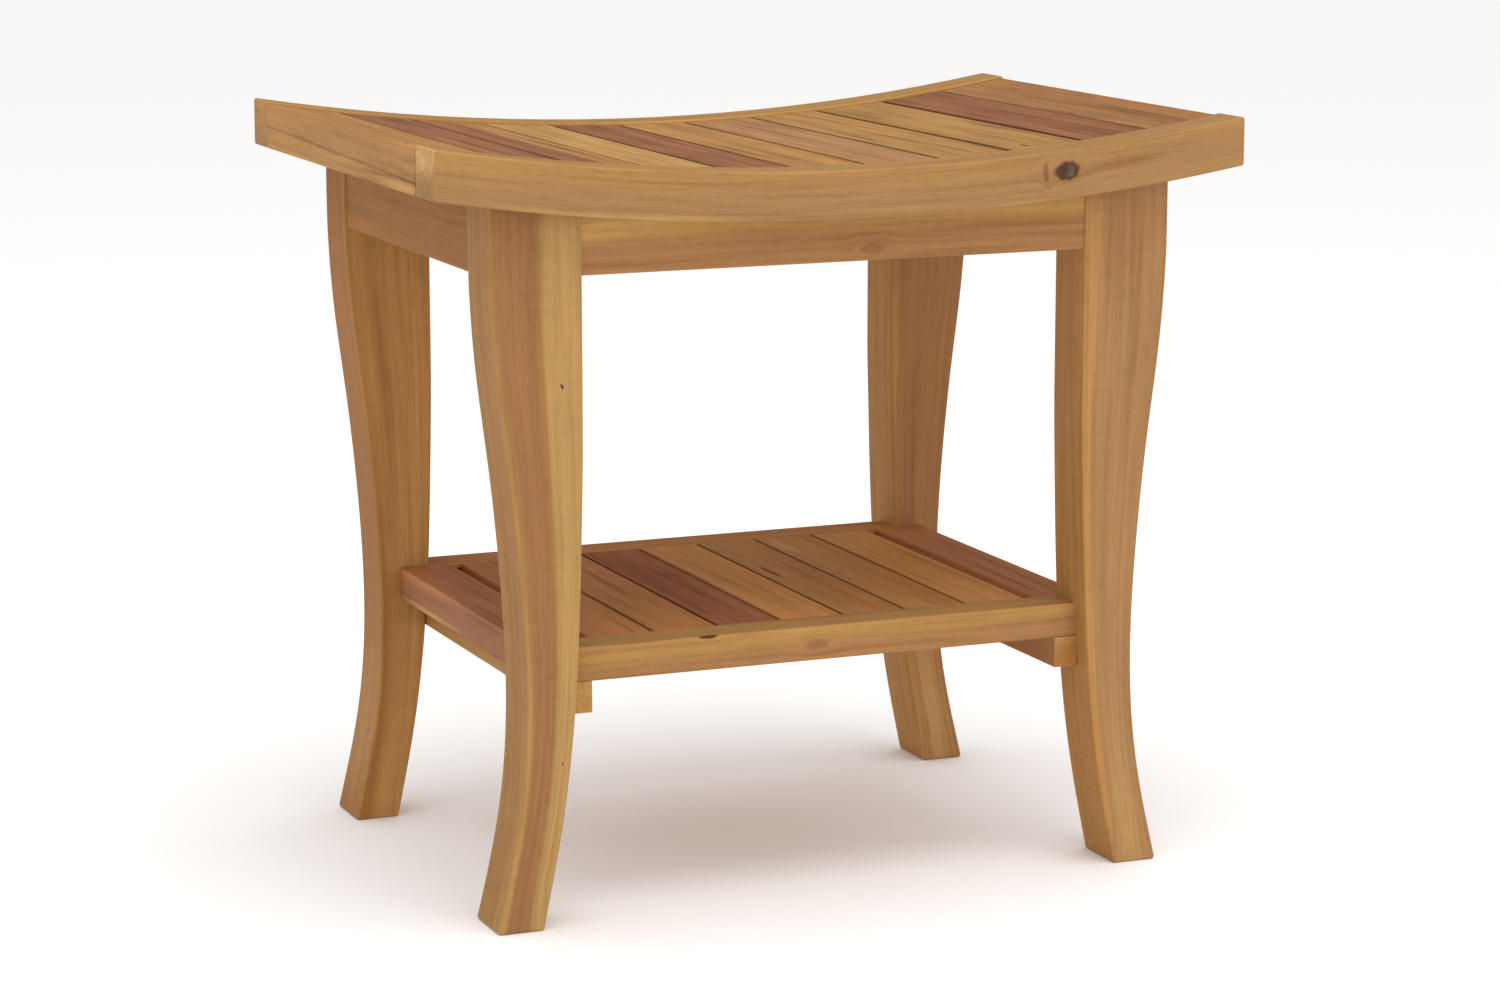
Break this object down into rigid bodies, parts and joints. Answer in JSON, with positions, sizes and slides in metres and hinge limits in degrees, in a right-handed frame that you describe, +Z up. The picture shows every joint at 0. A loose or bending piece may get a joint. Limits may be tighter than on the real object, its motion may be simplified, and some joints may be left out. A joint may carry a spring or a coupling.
{
  "type": "shower stool",
  "caption": "Slatted hardwood shower stool with a dished rectangular seat, curved legs and a slatted shelf between the legs.",
  "frame": {"origin": "middle of the footprint, on the floor", "axes": "+X along the seat's length, +Y to the back, +Z up"},
  "size_m": [0.5, 0.35, 0.4497],
  "materials": {
    "wood_tan": "oiled",
    "wood_light": "oiled",
    "wood_dark": "oiled",
    "screw_steel": "brushed"
  },
  "bodies": {
    "root": {"seat_rail_front": "wood_light", "seat_rail_back": "wood_light", "seat_end_board_left": "wood_light", "seat_end_board_right": "wood_tan", "seat_slat_1": "wood_dark", "seat_slat_2": "wood_light", "seat_slat_3": "wood_light", "seat_slat_4": "wood_dark", "seat_slat_5": "wood_light", "seat_slat_6": "wood_tan", "seat_slat_7": "wood_tan", "seat_slat_8": "wood_tan", "seat_slat_9": "wood_dark", "leg_front_left": "wood_tan", "leg_front_right": "wood_tan", "leg_back_left": "wood_tan", "leg_back_right": "wood_tan", "apron_front": "wood_tan", "apron_back": "wood_tan", "apron_left": "wood_tan", "apron_right": "wood_tan", "seat_cleat_left": "wood_tan", "seat_cleat_right": "wood_tan", "shelf_rail_front": "wood_tan", "shelf_rail_back": "wood_tan", "shelf_end_board_left": "wood_dark", "shelf_end_board_right": "wood_dark", "shelf_slat_1": "wood_tan", "shelf_slat_2": "wood_tan", "shelf_slat_3": "wood_dark", "shelf_slat_4": "wood_tan", "shelf_slat_5": "wood_tan", "shelf_slat_6": "wood_tan", "shelf_slat_7": "wood_tan", "shelf_bearer_left": "wood_tan", "shelf_bearer_right": "wood_tan", "seat_screws": "screw_steel", "cleat_screws": "screw_steel", "bearer_dowels": "wood_tan", "shelf_screws": "screw_steel"}
  },
  "joints": []
}
